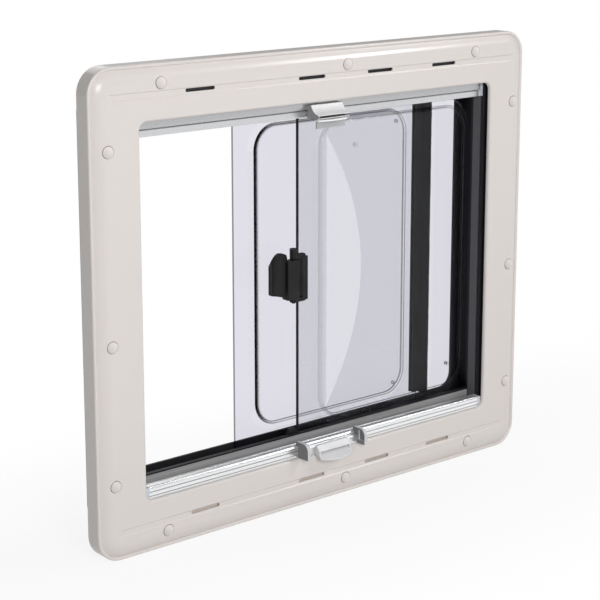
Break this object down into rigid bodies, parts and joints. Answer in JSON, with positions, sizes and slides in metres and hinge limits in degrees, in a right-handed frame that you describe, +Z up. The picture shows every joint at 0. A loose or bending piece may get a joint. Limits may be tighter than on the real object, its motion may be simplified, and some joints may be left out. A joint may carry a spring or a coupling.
{
  "type": "sliding caravan window",
  "caption": "Framed caravan window with a sliding and a fixed double-skinned acrylic pane, latch, roller flyscreen and roller blackout blind.",
  "frame": {"origin": "the wall-bearing back face of the inner frame's bottom edge, at mid width and in the middle of that edge's thickness", "axes": "+X to the right along the window as seen from the room, +Y outwards through the wall, +Z up"},
  "size_m": [0.624, 0.082, 0.524],
  "materials": {
    "cream_frame": "satin, moulded",
    "cream_cap": "satin, moulded",
    "steel": "zinc plated",
    "black_frame": "fine grain",
    "black_track": "smooth, extruded",
    "sill_grey": "smooth",
    "guide_grey": "smooth, extruded",
    "cassette_grey": "anodised",
    "mesh_fabric": "fine mesh, rolled",
    "blind_fabric": "coated cloth, rolled",
    "rail_alloy": "satin anodised",
    "rail_cap": "moulded",
    "handle_grey": "fine grain",
    "lip_white": "gloss",
    "grip_light": "satin, moulded",
    "acrylic": "clear acrylic with a grey tint",
    "plug_clear": "clear",
    "latch_black": "fine grain",
    "brush_fibre": "bristles"
  },
  "bodies": {
    "window": {"inner_frame": "cream_frame", "screw_caps_top": "cream_cap", "screw_caps_bottom": "cream_cap", "screw_caps_left": "cream_cap", "screw_caps_right": "cream_cap", "clamping_screws": "steel", "outer_frame": "black_frame", "bottom_track": "black_track", "sill_strip": "sill_grey", "top_track": "black_track", "side_profile_left": "black_track", "side_profile_right": "black_track", "blind_guide_left": "guide_grey", "blind_guide_right": "guide_grey", "flyscreen_cassette": "cassette_grey", "flyscreen_roller": "mesh_fabric", "flyscreen_end_rail": "rail_alloy", "flyscreen_rail_caps": "rail_cap", "flyscreen_handle": "handle_grey", "flyscreen_handle_lip": "lip_white", "flyscreen_catch_plate": "handle_grey", "blackout_cassette": "cassette_grey", "blackout_roller": "blind_fabric", "blackout_end_rail": "rail_alloy", "blackout_rail_caps": "rail_cap", "blackout_ear_left": "handle_grey", "blackout_ear_right": "handle_grey", "blackout_grip_bar": "rail_alloy", "blackout_grip_paddle": "grip_light", "fixed_pane_outer_skin": "acrylic", "fixed_pane_inner_skin": "acrylic", "fixed_pane_edge_strip": "black_track", "fixed_pane_plugs": "plug_clear", "fixed_pane_stop": "black_track", "latch_base": "latch_black", "latch_pin": "latch_black"},
    "sliding_pane": {"sliding_pane_outer_skin": "acrylic", "sliding_pane_inner_skin": "acrylic", "sliding_pane_plugs": "plug_clear", "brush_carrier": "black_track", "brush_seal": "brush_fibre"},
    "latch": {"latch_lever": "latch_black"}
  },
  "joints": [
    {"name": "pane_slide", "type": "slide", "parent": "window", "child": "sliding_pane", "axis": [1, 0, 0], "range_m": [-0.171, 0.06]},
    {"name": "latch_hinge", "type": "hinge", "parent": "window", "child": "latch", "pos_m": [-0.0295, 0.003, 0.2605], "axis": [0, 0, 1], "range_deg": [-20, 20]}
  ]
}
